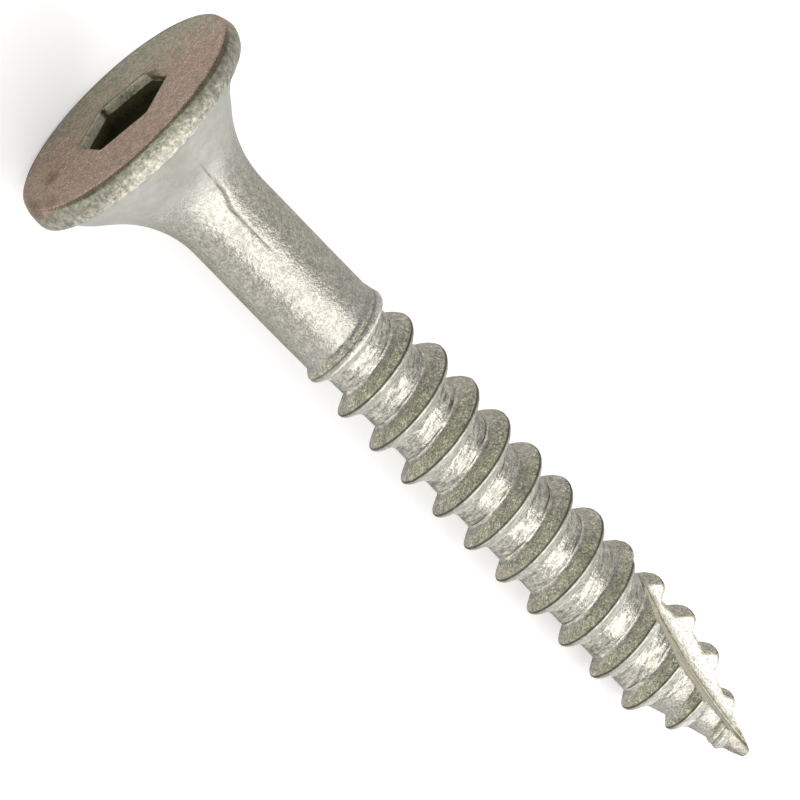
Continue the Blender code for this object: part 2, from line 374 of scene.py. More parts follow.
def lift(depth):
    """How far a section's centre lies from the axis, towards the photograph's upper side.

    The shaft is bowed a little that way, most near the start of the thread and less at its
    point. The bugle was upset to the other side: its shift grows from the rim and
    dies away along the shank.
    """
    bow = BOW * step((depth - 3.5) / 5.0) * (1.0 - 0.6 * step((depth - 45.0) / 4.5))
    bow = bow + BOW_MIDDLE * hump(depth, THREAD_FULL, 9.5)
    grown = step((depth - 0.75) / 1.9)
    upset = UPSET_SHIFT * np.where(depth < 2.9, grown, np.exp((2.9 - depth) / 1.2))
    return bow - upset


def hexagon(turn, apothem):
    """Radius of a hexagon at a turn, with its corners taken off a little."""
    from_flat = np.mod(turn - SOCKET_TURN, math.pi / 3) - math.pi / 6
    corner = apothem / math.cos(math.pi / 6)
    return np.minimum(apothem / np.cos(from_flat), corner - SOCKET_CORNER)


def bugle_radius(depth):
    """Radius below the rim: a cone, an arc that it touches, and the shank."""
    above = np.maximum(BUGLE_END - depth, 0.0)
    touch = BUGLE_RADIUS * math.sin(BUGLE_SLOPE)
    arc = BUGLE_RADIUS - np.sqrt(BUGLE_RADIUS ** 2 - np.minimum(above, touch) ** 2)
    return SHANK_RADIUS + arc + np.maximum(above - touch, 0.0) * math.tan(BUGLE_SLOPE)


def head_rows():
    """Radius, depth, hexagon share and mask of each row, from the socket to the shank.

    The socket's floor is a shallow bowl, its wall has a small step near the mouth, the
    rim is an arc that swells between two tight edges, and the bugle, which starts inside
    the rim on a round ledge, ends on the shank.
    """
    deep = SOCKET_HALF_WIDTH - SOCKET_STEP
    rows = []
    for share in np.linspace(0.12, 0.94, 6):
        bowl = SOCKET_DEPTH + SOCKET_BOTTOM * (1.0 - share ** 2)
        rows.append((deep * share, bowl, share, SOCKET))
    for share in np.linspace(0.0, 1.0, 8):
        depth = between(SOCKET_DEPTH, SOCKET_STEP_DEPTH + SOCKET_STEP_SLOPE, share)
        rows.append((deep, depth, 1.0, SOCKET))
    for share in np.linspace(0.0, 1.0, 7):
        depth = between(SOCKET_STEP_DEPTH, SOCKET_MOUTH, share)
        # The wall above the step takes the painted light of the lip, and below it the painted
        # shade of the socket
        rows.append((SOCKET_HALF_WIDTH, depth, 1.0, LIT_LIP if share > 0.1 else SOCKET))
    for angle in np.linspace(0.3, 1.0, 3) * math.pi / 2:
        rows.append((SOCKET_HALF_WIDTH + SOCKET_MOUTH * (1.0 - math.cos(angle)),
                     SOCKET_MOUTH * (1.0 - math.sin(angle)), 1.0, FACE_MASK))

    mouth = SOCKET_HALF_WIDTH + SOCKET_MOUTH
    for share in (1.0 - np.cos(np.linspace(0.07, 1.0, 22) * math.pi)) / 2:
        hexed = 1.0 - step(share * 1.15)
        rows.append((between(mouth, FACE_RADIUS, share), 0.0, hexed, FACE_MASK))
    for angle in np.linspace(0.3, 1.0, 3) * math.pi / 2:
        rows.append((between(FACE_RADIUS, RIM_TOP_RADIUS, math.sin(angle)),
                     RIM_EDGE * (1.0 - math.cos(angle)), 0.0, RIM))
    for share in np.linspace(0.0, 1.0, 15)[1:]:
        swell = RIM_SWELL * (2.0 * share - RIM_WIDEST) ** 2
        rows.append((HEAD_RADIUS - swell, between(RIM_EDGE, RIM_HEIGHT, share), 0.0, RIM))

    edge = rows[-1][0]
    inner = float(bugle_radius(LEDGE_END))
    for angle in np.linspace(0.25, 1.0, 4) * math.pi / 2:
        rows.append((between(edge, inner, 1.0 - math.cos(angle)),
                     between(RIM_HEIGHT, LEDGE_END, math.sin(angle)), 0.0, BUGLE))
    for share in np.linspace(0.0, 1.0, 38)[1:] ** 1.1:
        depth = between(LEDGE_END, BUGLE_END, share)
        rows.append((float(bugle_radius(depth)), depth, 0.0, BUGLE))
    for share in np.linspace(0.0, 1.0, 31)[1:]:
        depth = between(BUGLE_END + 0.03, THREAD_ROWS_START, share)
        rows.append((SHANK_RADIUS, depth, 0.0, BUGLE))
    return np.array(rows, dtype=float)


def tooth(offset):
    """Share of the thread's height at an offset along the axis from its crest.

    The side that faces the head is straight, with a small round at the crest and at the
    foot. The side that faces the tip falls along a smooth S, and a second and longer one
    makes its wide fillet.
    """
    ramp = (-offset - 0.02) / FLANK_RUN
    head_side = -soft_min(-soft_min(ramp, 1.0, 0.05), 0.0, 0.06)
    fillet = step((offset - 0.15) / FILLET_RUN)
    tip_side = 0.56 * step(offset / HOLLOW_RUN) ** 1.1 + 0.44 * fillet
    return 1.0 - np.where(offset < 0.0, head_side, tip_side)


def low_share(depth):
    """How far down the full thread a depth lies, from 0 to 1."""
    return np.clip((depth - THREAD_FULL) / (42.0 - THREAD_FULL), 0.0, 1.0)


def core_radius(depth):
    """Radius of the core at a depth: the root, and the cone and nose of the point."""
    above_tip = OVERALL_LENGTH - depth
    root = between(ROOT_RADIUS, ROOT_RADIUS_LOW, low_share(depth))
    run = CONE_LENGTH - NOSE_RADIUS
    reach = math.hypot(ROOT_RADIUS_LOW, run)
    slope = math.atan2(ROOT_RADIUS_LOW, run) - math.asin(NOSE_RADIUS / reach)
    touch = NOSE_RADIUS * (1.0 - math.sin(slope))
    cone = NOSE_RADIUS * math.cos(slope) + (above_tip - touch) * math.tan(slope)
    cone = cone + NOSE_SWELL * hump(above_tip, 0.85, 0.75)
    nose = np.sqrt(np.maximum(NOSE_RADIUS ** 2 - (NOSE_RADIUS - above_tip) ** 2, 0.0))
    return soft_min(np.where(above_tip < touch, nose, cone), root, 0.03)


def crest_radius(depth):
    """Radius of the crest at a depth, which bends in towards the point ever faster."""
    body = between(CREST_RADIUS, CREST_RADIUS_LOW, low_share(depth))
    into = CREST_CONE_LENGTH - (OVERALL_LENGTH - depth)
    into = (into + np.sqrt(into ** 2 + 0.1)) / 2.0
    return body - CREST_SLOPE * into - CREST_BEND * into ** 3


def soft_min(a, b, width):
    """The smaller of two values, with the corner between them rounded over a width."""
    share = np.clip(0.5 + (b - a) / (4.0 * width), 0.0, 1.0)
    return b + (a - b) * share - 2.0 * width * share * (1.0 - share)


def crest_depth(turn):
    """Depth of a crest at a turn, up to a whole number of pitches."""
    return CREST_AT_PHOTO_TOP + PITCH * (PHOTO_TOP - turn) / math.tau


def thread_radius(depth, offset):
    """Radius of the threaded part from the depth and the offset from its crest.

    The first ridge rises quickly from the shank to two fifths of its height and takes
    two turns to the rest, with a fold along the top of its first turn. The groove on its
    tip side drops from the shank to the root in a third of a turn. Near the tip the last
    ridge is a low collar with a flat top, and then dies away.
    """
    ridge = depth - offset
    turns_in = (ridge - THREAD_START) / PITCH
    starting = depth < 30.0
    late = 0.45 * (1.0 - step((turns_in - 0.1) / 0.7))
    away = offset - late * hump(offset, 0.3, 0.9)
    groove = step(np.where(away > 0.0, turns_in, turns_in - 1.0) / 0.33)
    root = core_radius(depth)
    core = np.where(starting, between(SHANK_RADIUS, root, groove), root)

    growth = between(np.clip((turns_in - 0.24) / 1.8, 0.0, 1.0), step(turns_in / 0.26),
                     FIRST_RISE)
    crest = crest_radius(ridge)
    crest = np.where(starting, between(SHANK_RADIUS, crest, growth), crest)
    above_tip = OVERALL_LENGTH - ridge
    height = np.maximum(crest - core, 0.0) * step((above_tip - THREAD_END_HEIGHT) / 0.45)

    collar = step((ridge - COLLAR_START) / 0.8)
    flat = CREST_FLAT + COLLAR_FLAT * collar
    full = np.minimum(height / (CREST_RADIUS - ROOT_RADIUS), 1.0)
    width = 0.62 + 0.38 * full - 0.2 * collar
    share = tooth(np.sign(away) * np.maximum(np.abs(away) - flat, 0.0) / width)
    share = share - 0.1 * collar * hump(offset, 0.03, 0.1)
    share = share - FOLD_DEPTH * hump(turns_in, 0.72, 0.3) * hump(offset, 0.03, 0.13)
    return core + height * share, share, groove, height


def flute_floor(depth):
    """Distance of the flute's narrow wall from the axis: the rim of the cutting disc."""
    along = OVERALL_LENGTH - depth + DISC_OVERRUN
    return FLUTE_WEB + DISC_RADIUS - np.sqrt(DISC_RADIUS ** 2 - along ** 2)


def even_turns():
    """Turn of each column where the columns are even."""
    return FIRST_COLUMN_TURN + math.tau * np.arange(COLUMNS) / COLUMNS


def column_turns(depth):
    """Turn of each column at each depth of the grid, drawn together on the flute's wall.

    Away from the flute the columns are even. Beside it a band of them lies on the wide
    wall, spaced evenly from the bottom of the flute out past the crests, and the rest
    share the way round.
    """
    even = even_turns()
    wall_turn = FLUTE_TURN + math.pi / 2
    half = COLUMNS // 2
    laps = (wall_turn + math.tau - FIRST_COLUMN_TURN) / math.tau
    from_wall = (np.arange(COLUMNS) - round(laps * COLUMNS) + half) % COLUMNS - half
    band = WALL_COLUMNS / 2

    inner = flute_floor(depth)
    share = np.clip((from_wall + band) / WALL_COLUMNS, 0.0, 1.0)
    out = between(inner, CREST_RADIUS * 1.04, share)
    drawn = wall_turn - np.arctan2(WALL_OFFSET, np.maximum(out, 0.05))
    beyond = np.maximum(np.abs(from_wall) - band, 0.0) / (half - band)
    corner = np.arctan2(WALL_OFFSET, np.maximum(inner, 0.05))
    drawn = np.where(from_wall > band, between(drawn, wall_turn + math.pi, beyond), drawn)
    before = between(wall_turn - corner, wall_turn - math.pi, beyond)
    drawn = np.where(from_wall < -band, before, drawn)

    # The drawn turns are counted from the wall, so they are brought to the even ones' round
    drawn = drawn + np.round((even - drawn) / math.tau) * math.tau
    return between(even, drawn, step((depth - FLUTE_COLUMNS_START) / 1.6))


def thread_grid():
    """Depth, turn and offset from the crest of each vertex of the threaded part.

    Each row starts at its own depth and falls back one pitch in a turn towards the head,
    so that it keeps its offset from the crest. Rows are closest at the crest and at the
    foot of the flank that faces the head.
    """
    spaced = np.linspace(-0.5, 0.5, 2001) * PITCH
    crowd = 1.0 + 1.3 * hump(spaced, 0.05, 0.4) + 1.3 * hump(spaced, -0.6, 0.3)
    crowd = np.concatenate([[0.0], np.cumsum(crowd[1:])])
    offsets = np.interp(np.arange(ROWS_PER_PITCH) / ROWS_PER_PITCH, crowd / crowd[-1], spaced)
    turn0 = FIRST_COLUMN_TURN
    crest0 = crest_depth(turn0)
    first = math.floor((THREAD_ROWS_START - crest0) / PITCH) * PITCH + crest0
    last_row = THREAD_ROWS_END + PITCH
    laps = int((last_row - first) / PITCH) + 3
    starts = (first + PITCH * np.arange(laps)[:, None] + offsets[None, :]).ravel()
    offset = np.tile(offsets, laps)
    keep = (starts > THREAD_ROWS_START) & (starts < last_row + PITCH / ROWS_PER_PITCH)
    starts, offset = starts[keep], offset[keep]

    depth = starts[:, None] - PITCH * (even_turns() - turn0)[None, :] / math.tau
    turn = column_turns(depth)
    depth = starts[:, None] - PITCH * (turn - turn0) / math.tau
    return depth, turn, np.broadcast_to(offset[:, None], depth.shape)


def cut_flute(depth, turn, radius):
    """The radius where the disc has passed, and how far each wall of the flute rules it.

    The corner between the walls and the edges they cut are rounded a little.
    """
    angle = around(turn, FLUTE_TURN)
    inside = (angle > 0.0) & (angle < math.pi / 2)
    wide = WALL_OFFSET / np.maximum(np.cos(angle), 1e-6)
    narrow = flute_floor(depth) / np.maximum(np.sin(angle), 1e-6)
    wall = np.where(inside, -soft_min(-wide, -narrow, FLUTE_EDGE), 1e3)
    cut = step((radius - wall) / (2.0 * FLUTE_EDGE) + 0.5)
    ruled = soft_min(radius, wall, FLUTE_EDGE)
    return ruled, cut * (wide >= narrow), cut * (narrow > wide)


def place(depth, turn, radius):
    """Position in metres of a depth, turn and radius, on the shaft as it is bowed."""
    lifted = lift(depth)
    up = radius * np.cos(turn) + lifted * math.cos(PHOTO_TOP)
    across = radius * np.sin(turn) + lifted * math.sin(PHOTO_TOP)
    local = np.stack([depth, up, across], axis=-1)
    return np.array(FACE) + local * MM @ np.array([AXIS, UP, ACROSS])


def around(turn, middle):
    """Turn counted from a middle, from half a round before it to half a round after."""
    return np.mod(turn - middle + math.pi, math.tau) - math.pi


def beside(turn, middle, half_width):
    """A smooth bump of height one round a turn, zero beyond its half width."""
    return hump(around(turn, middle), 0.0, half_width)


def broken_mouth(radius, depth, turn):
    """How far one edge of the socket's mouth is pushed down and in, with its share."""
    reach = step((BROKEN_REACH - np.abs(around(turn, BROKEN_TURN))) / math.radians(12.0))
    spot = np.stack([radius * np.cos(turn), radius * np.sin(turn), depth], axis=-1)
    uneven = 1.0 + 0.4 * noise(spot, *MOUTH_NOTCHES)
    near = reach * (1.0 - step((radius - SOCKET_HALF_WIDTH - 0.2) / 0.5))
    fades = step(1.0 - depth / 0.9)
    broken = near * fades
    return BROKEN_DOWN * broken * uneven, BROKEN_IN * broken * uneven, broken


def seam_mask(depth, turn, radius, uneven):
    """One on the crease that rolling left along the bugle and the shank, whose dark colour is
    painted shade. It is widest and deepest at its bend and fades out along the shank."""
    middle = SEAM_TURN - SEAM_BEND * step((depth - SEAM_BEND_DEPTH) / 1.3)
    from_seam = around(turn, middle) * radius + 0.1 * (uneven - 0.5)
    bend = hump(depth, 6.5, 1.6)
    fades = step((depth - 2.0) / 2.2) * (1.0 - step((depth - 9.2) / 2.4))
    return hump(from_seam, 0.0, 0.14 + 0.09 * bend) * fades * (0.78 + 0.22 * bend)


def face_spots(turn, radius):
    """One in the middle of each dark spot on the face, zero beyond its reach, which is
    twice as long towards the camera's side as across it."""
    total = np.zeros(turn.shape)
    for spot_turn, spot_radius, reach in FACE_SPOTS:
        from_side = math.radians(spot_turn) - CAMERA_SIDE
        along = radius * np.cos(turn - CAMERA_SIDE) - spot_radius * math.cos(from_side)
        across = radius * np.sin(turn - CAMERA_SIDE) - spot_radius * math.sin(from_side)
        total = np.maximum(total, step(1.0 - np.hypot(along / 2.0, across) / reach))
    return total


def rim_flat(depth, turn):
    """How far the rear edge of the rim is flattened on one side."""
    along = step((depth - 0.6) / 0.6) * (1.0 - step((depth - 1.5) / 0.8))
    return RIM_FLAT_DEPTH * beside(turn, RIM_FLAT_TURN, 0.9) * along


def face_share(depth, turn, mottled):
    """How far the brown of the face goes over the rim's edge: furthest where the rim is
    turned up or down in the photograph."""
    beyond = np.cos(turn - PHOTO_TOP) ** 4
    return 1.0 - step((depth - 0.08 - (0.05 + 0.4 * mottled) * beyond) / 0.14)


def head_edge_shade(radius, depth, turn):
    """Painted shade on the rounded edge between face and rim: a dark line, wider at two
    turns, and a lighter painted shade beside it, deeper on the sides turned from the
    camera, with a thin dark line at the face's edge on the far side."""
    wider = beside(turn, SHADE_TURN, 0.8)
    reach = 0.3 + 0.16 * wider + 0.12 * beside(turn, LOW_SHADE_TURN, 0.6)
    fades = 1.0 - 0.75 * np.cos(turn - PHOTO_TOP) ** 8 * (1.0 - wider)
    line = step((reach - depth) / 0.16) * step((depth - 0.02) / 0.06) * fades
    lower = 1.0 - np.maximum(np.cos(turn - CAMERA_SIDE), 0.0) ** 2
    shade = (0.22 + 0.06 * lower) * step((0.7 + 0.45 * lower - depth) / 0.4)
    shade = shade * step((depth - 0.08) / 0.06)
    far = step(-np.cos(turn - CAMERA_SIDE) * 2.0 - 0.4) * step((radius - 6.55) / 0.2)
    return np.maximum(np.maximum(0.68 * line, shade), 0.5 * far * (depth < 0.1))


def dents(depth, turn, radius):
    """Small round dents left by the rolling dies, scattered by a fixed seed."""
    chance = np.random.default_rng(DENT_SEED)
    total = np.zeros(depth.shape)
    for _ in range(DENTS):
        at = chance.uniform(THREAD_START, OVERALL_LENGTH - 5.0)
        round_at = chance.uniform(-math.pi, math.pi)
        size = chance.uniform(0.14, 0.34)
        deep = chance.uniform(0.012, 0.035)
        away = np.sqrt((depth - at) ** 2 + (around(turn, round_at) * radius) ** 2)
        total += deep * step(1.0 - away / size)
    return total


def head_shape():
    """Radius, depth and turn of each vertex of the head and shank, the zone and hexagon
    share of its row, and how far it lies on the broken edge of the mouth."""
    rows = head_rows()
    radius, depth, hexed = rows[:, 0:1], rows[:, 1:2], rows[:, 2:3]
    zone = rows[:, 3:4].astype(int)
    turn = np.broadcast_to(even_turns(), (len(rows), COLUMNS))
    radius = between(radius, hexagon(turn, radius), hexed)
    depth = np.broadcast_to(depth, turn.shape)
    outer = (zone == FACE_MASK) | (zone == LIT_LIP)
    down, inward, broken = broken_mouth(radius, depth, turn)
    depth = depth + down * outer
    radius = radius - inward * outer
    radius = radius - rim_flat(depth, turn) * ((zone == RIM) | (zone == BUGLE))
    return radius, depth, turn, zone, hexed, broken * outer


def head_part():
    """Place and finish masks of each vertex of the head and shank."""
    radius, depth, turn, zone, hexed, broken = head_shape()
    on_rim, on_face, on_lip = zone == RIM, zone == FACE_MASK, zone == LIT_LIP
    mottled = 0.5 + 0.5 * noise(place(depth, turn, radius) / MM, *MOTTLES)
    browned = face_share(depth, turn, mottled) * on_rim
    pale_wall = beside(turn, PALE_WALL_TURN, 0.75) * on_lip
    corner = beside(turn, CORNER_TURN, 0.14) * on_lip
    in_mouth = 1.0 - step((depth - 0.6) / 1.0)
    mouth = (hexed > 0.999) & on_face & (np.cos(turn - OUTLINE_TURN) > 0.1)
    far_side = np.cos(turn - GREY_TURN) * radius
    patch = beside(turn, PATCH_TURN, 1.1) * step((radius - 3.4) / 1.6)
    blotted = 0.34 * patch + 0.56 * face_spots(turn, radius)

    masks = np.zeros(turn.shape + (MASKS,))
    masks[np.arange(len(zone)), :, zone[:, 0]] = 1.0
    masks[..., LIT_LIP] *= 1.0 - broken
    # Painted light: half the lip's pale colour reaches down into the socket near the mouth
    masks[..., LIT_LIP] += 0.5 * (zone == SOCKET) * in_mouth
    masks[..., FACE_MASK] = np.maximum(masks[..., FACE_MASK], broken) + browned
    masks[..., RIM] -= browned
    # The crease is dented, and darkened by painted shade
    masks[..., SEAM] = seam_mask(depth, turn, radius, mottled) * (zone == BUGLE)
    # Painted shade on the rounded edge between face and rim
    masks[..., STAIN_AND_SHADE] = head_edge_shade(radius, depth, turn) * (on_rim | on_face)
    masks[..., GREY] = step(0.5 + (far_side - 2.6) / 5.5) * on_face
    masks[..., OUTLINE] = 0.7 * mouth
    # Painted light and shade on the lip: the pale wall is greyer, and the corner beside it
    # dark
    masks[..., SOCKET] += 0.4 * pale_wall + 0.55 * corner
    # Olive cast, partly painted light, on the pale socket wall and the rim's upper part
    masks[..., OLIVE] = pale_wall + (on_rim - browned) * step(1.1 - depth / 0.7)
    masks[..., SMOOTH] = step((depth - 1.2) / 0.3) * (1.0 - step((depth - 2.9) / 4.4))
    masks[..., BLOT] = blotted * (on_face + on_rim * (1.0 - step((depth - 0.4) / 0.5)))
    worn = RIM_PITS * mottled * on_rim + SEAM_DEPTH * masks[..., SEAM]
    return place(depth, turn, radius - worn), masks


def thread_part(depth, turn, offset):
    """Place, finish masks and radius of each vertex of the thread and point.

    Drawn lines, chips, lumps and dents lower the surface, and then the flute is cut. The
    zones follow the offset from the crest and the share of the thread's height, and stop
    where a wall of the flute rules.
    """
    radius, share, groove, height = thread_radius(depth, offset)
    radius = np.where(depth <= THREAD_ROWS_START, SHANK_RADIUS, radius)
    spots = place(depth, turn, radius) / MM
    bare = groove * step((0.12 - share) / 0.1) * (depth < BARE_END)
    lines = hump(offset, *HEAD_LINE_STRIP) + 0.5 * hump(offset, *TIP_LINE_STRIP)
    lines = bare * step(0.5 + 1.5 * noise(spots, *BREAKS)) * lines
    chips = CHIP_DEPTH * (1.0 + noise(spots, *CHIPS)) * step((share - 0.6) / 0.4)
    lumps = LUMP_DEPTH * (1.0 + noise(spots, *LUMPS))
    relief = LINE_DEPTH * lines + chips + lumps + bare * dents(depth, turn, radius)
    inside = step((depth - THREAD_ROWS_START) / 0.3) * step((THREAD_ROWS_END - depth) / 0.5)
    uncut = radius - relief * inside
    radius, wide, narrow = cut_flute(depth, turn, uncut)

    edge = hump(uncut - radius, 0.06, 0.13) * (0.6 + 0.4 * share)
    whole = 1.0 - np.clip(wide + narrow, 0.0, 1.0)
    tall = np.clip(height / 0.5, 0.0, 1.0) * whole
    deep_cut = step((depth - FLUTE_WALLS_START) / 0.8)
    from_corner = radius - flute_floor(depth)
    # Painted shade: darker towards the corner between the flute's walls, with a dark line
    # beside it
    corner = 0.46 * (1.0 - step(from_corner / 0.75)) + 0.2 * hump(from_corner, 0.05, 0.09)
    last_ridge = step((depth - offset - COLLAR_START) / 0.3) * step(height / 0.2) * whole
    sides = 0.66 * hump(offset, *COLLAR_HEAD_STRIP) + 0.5 * hump(offset, *COLLAR_TIP_STRIP)
    nose = step((depth - NOSE_START) / 0.6)
    after_crest = step((offset - 0.1) / 0.06) * step((share - 0.04) / 0.1)
    # The olive cast, partly painted reflection, lies on the flanks on the camera's side
    facing = step(0.08 + np.cos(turn - CAMERA_SIDE) + 0.3 * noise(spots, *PATCHES))

    masks = np.zeros(depth.shape + (MASKS,))
    masks[..., FLANK] = tall * step((0.03 - offset) / 0.06) * step((share - 0.18) / 0.16)
    masks[..., OLIVE] = masks[..., FLANK] * facing
    masks[..., ROOT] = bare * whole
    # Painted highlight along the foot of the next ridge's flank
    masks[..., LIT_FOOT] = bare * whole * hump(offset, *FOOT_STRIP)
    masks[..., CREST] = tall * hump(offset, *CREST_STRIP)
    # Painted light: past each crest the tip side of the ridge is paler, as if lit from beyond
    # the tip
    masks[..., LIT_BAND] = (1.0 - 0.4 * last_ridge) * tall * after_crest
    masks[..., WIDE_WALL] = wide * deep_cut
    masks[..., NARROW_WALL] = narrow * deep_cut
    masks[..., LINES_AND_CORNER_SHADE] = np.maximum(lines * whole, wide * corner * deep_cut)
    masks[..., OUTLINE] = np.maximum((wide + narrow) * edge * deep_cut, last_ridge * sides)
    masks[..., BLOT] = NOSE_BLOT * nose
    masks[..., STAIN_AND_SHADE] = NOSE_STAIN * nose + 0.42 * tall * hump(offset, *STAIN_STRIP)
    return place(depth, turn, radius), masks, radius


def nose_part(radius, turn):
    """Place and finish masks of the rings that round the tip: a quarter of an ellipse
    from the last radius of the thread to the axis."""
    angle = np.linspace(0.0, 1.0, 7)[1:-1, None] * math.pi / 2
    depth = THREAD_ROWS_END + (OVERALL_LENGTH - THREAD_ROWS_END) * np.sin(angle)
    radius = radius * np.cos(angle)
    masks = np.zeros(radius.shape + (MASKS,))
    masks[..., BLOT] = NOSE_BLOT
    masks[..., STAIN_AND_SHADE] = NOSE_STAIN
    turn = np.broadcast_to(turn, radius.shape)
    return place(np.broadcast_to(depth, radius.shape), turn, radius), masks


def streak_place(depth, turn, offset):
    """Where streaks are looked up: round the tooth's pitch in two of four numbers, round
    the screw in the others, and shifted along it."""
    phase = math.tau * offset / PITCH
    pitch_radius = PITCH / math.tau
    round_radius = ROOT_RADIUS / STREAK_STRETCH
    drift = 0.3 * depth
    return np.stack([pitch_radius * np.cos(phase) + drift,
                     pitch_radius * np.sin(phase) + drift,
                     round_radius * np.cos(turn), round_radius * np.sin(turn)], axis=-1)


def screw_surface():
    """Vertices, triangles, finish masks and streak places of the whole screw.

    Thread rows that begin above the thread or run beyond it are led to the rings there,
    and the triangles that this closes up are left out.
    """
    head_points, head_masks = head_part()
    depth, turn, offset = thread_grid()
    live = (depth > THREAD_ROWS_START) & (depth < THREAD_ROWS_END)
    below = depth >= THREAD_ROWS_END
    depth = np.clip(depth, THREAD_ROWS_START, THREAD_ROWS_END)
    thread_points, thread_masks, radius = thread_part(depth, turn, offset)
    nose_points, nose_masks = nose_part(radius[-1], turn[-1])
    pole_depths = np.array([SOCKET_DEPTH + SOCKET_BOTTOM, OVERALL_LENGTH])
    pole_masks = np.zeros((2, MASKS))
    pole_masks[0, SOCKET] = 1.0
    poles = place(pole_depths, np.zeros(2), np.zeros(2))
    points = np.concatenate([part.reshape(-1, 3) for part in (
        head_points, thread_points, nose_points, poles)])
    masks = np.concatenate([part.reshape(-1, MASKS) for part in (
        head_masks, thread_masks, nose_masks, pole_masks)])

    head_size = head_points[..., 0].size
    nose_start = head_size + depth.size
    streak = np.zeros((len(points), 4))
    streak[head_size:nose_start] = streak_place(depth, turn, offset).reshape(-1, 4)
    rings = np.arange(head_size).reshape(-1, COLUMNS)
    thread = np.arange(head_size, nose_start).reshape(depth.shape)
    pole = len(points) - 2
    bottom = thread[-1]
    thread = np.where(live, thread, np.where(below, bottom, rings[-1]))
    noses = np.concatenate([bottom, np.arange(nose_start, pole)]).reshape(-1, COLUMNS)
    quads = np.concatenate([ring_quads(rings), thread_quads(thread, rings[-1]),
                            ring_quads(noses)])
    triangles = np.concatenate([quads[:, [0, 1, 2]], quads[:, [0, 2, 3]],
                                fan(rings[0], pole, True), fan(noses[-1], pole + 1, False)])
    first, second, third = triangles.T
    distinct = (first != second) & (second != third) & (third != first)
    used, inverse = np.unique(triangles[distinct], return_inverse=True)
    return points[used], inverse.reshape(-1, 3), masks[used], streak[used]


def strips(left, right):
    """Quads between columns of vertex numbers and the columns beside them."""
    return np.stack([left[:-1], left[1:], right[1:], right[:-1]], axis=-1).reshape(-1, 4)


def ring_quads(numbers):
    """Quads between rows of vertex numbers that close on themselves."""
    return strips(numbers, np.roll(numbers, -1, axis=1))


def thread_quads(numbers, top):
    """Quads between thread rows, which at the last column meet the rows one pitch nearer
    the head."""
    seam = np.concatenate([np.broadcast_to(top[0], ROWS_PER_PITCH), numbers[:, 0]])
    return np.concatenate([strips(numbers[:, :-1], numbers[:, 1:]),
                           strips(numbers[:, -1], seam[:len(numbers)]),
                           ring_quads(np.stack([top, numbers[0]]))])


def fan(ring, pole, start):
    """Triangles from a ring to a pole, wound as the rows beside them."""
    centre = np.full(len(ring), pole)
    pair = [centre, ring] if start else [ring, centre]
    return np.stack([*pair, np.roll(ring, -1)], axis=-1)


def new_object(name, data):
    """An object with its data, in the scene."""
    made = bpy.data.objects.new(name, data)
    bpy.context.scene.collection.objects.link(made)
    return made


def new_material(name):
    """A material with its node tree and its shader."""
    material = bpy.data.materials.new(name)
    material.use_nodes = True
    return material, material.node_tree, material.node_tree.nodes["Principled BSDF"]


def pose(spot, right, up, back):
    """The matrix that stands a lamp or a camera at a spot, looking away from its back."""
    return Matrix.Translation(spot) @ Matrix((right, up, back)).transposed().to_4x4()


def make_mesh(name, points, triangles, layers):
    """A mesh object from arrays, shaded smooth, with layers of four numbers a vertex."""
    a, b, c = (points[triangles[:, i]] for i in range(3))
    if np.einsum("ij,ij->i", np.cross(a, b), c).sum() < 0.0:
        triangles = triangles[:, ::-1]
    mesh = bpy.data.meshes.new(name)
    mesh.vertices.add(len(points))
    mesh.vertices.foreach_set("co", points.astype(np.float32).ravel())
    mesh.loops.add(triangles.size)
    mesh.loops.foreach_set("vertex_index", triangles.astype(np.int32).ravel())
    mesh.polygons.add(len(triangles))
    mesh.polygons.foreach_set("loop_start", np.arange(0, triangles.size, 3, dtype=np.int32))
    mesh.update(calc_edges=True)
    for title, four in layers.items():
        layer = mesh.attributes.new(title, "FLOAT_COLOR", "POINT")
        layer.data.foreach_set("color", four.astype(np.float32).ravel())
    mesh.shade_smooth()
    mesh.validate()
    return new_object(name, mesh)


def add(tree, kind, inputs=None, **settings):
    """A node with some settings, whose inputs are set to values or joined to sockets."""
    made = tree.nodes.new(kind)
    for name, value in settings.items():
        setattr(made, name, value)
    for key, value in (inputs or {}).items():
        if isinstance(value, bpy.types.NodeSocket):
            tree.links.new(value, made.inputs[key])
        else:
            made.inputs[key].default_value = value
    return made


def blend(tree, share, first, second):
    """A colour between two colours or sockets, by a share."""
    node = add(tree, "ShaderNodeMix", {0: share, 6: first, 7: second}, data_type="RGBA")
    return node.outputs[2]


def sums(tree, operation, total, *others):
    """Several values or sockets joined by one kind of arithmetic, from the first on."""
    for value in others:
        node = add(tree, "ShaderNodeMath", {0: total, 1: value}, operation=operation)
        total = node.outputs[0]
    return total


def vectors(tree, operation, first, second):
    """One vector step between two vectors, colours or sockets."""
    return add(tree, "ShaderNodeVectorMath", {0: first, 1: second}, operation=operation)


def spread(tree, value, low, high, to_low, to_high):
    """A value stretched from one range to another and held there."""
    node = add(tree, "ShaderNodeMapRange", {0: value, 1: low, 2: high, 3: to_low, 4: to_high})
    return node.outputs[0]


def mixed(tree, share, first, second):
    """A value between two values or sockets, by a share."""
    return add(tree, "ShaderNodeMix", {0: share, 2: first, 3: second}).outputs[0]


def grain(tree, spot, size, detail, shift):
    """Noise round one half, with features of a size in millimetres."""
    shifted = vectors(tree, "ADD", spot, (shift, shift * 0.7, shift * 0.3))
    return add(tree, "ShaderNodeTexNoise", {
        "Vector": shifted.outputs[0], "Scale": 1.0 / (size * MM), "Detail": detail,
        "Roughness": 0.6}).outputs[0]


def tones(tree, noises, ranges):
    """The product of several noises, each stretched to its own range of tones."""
    return sums(tree, "MULTIPLY", *(spread(tree, noises[name], *ends)
                                    for name, *ends in ranges))


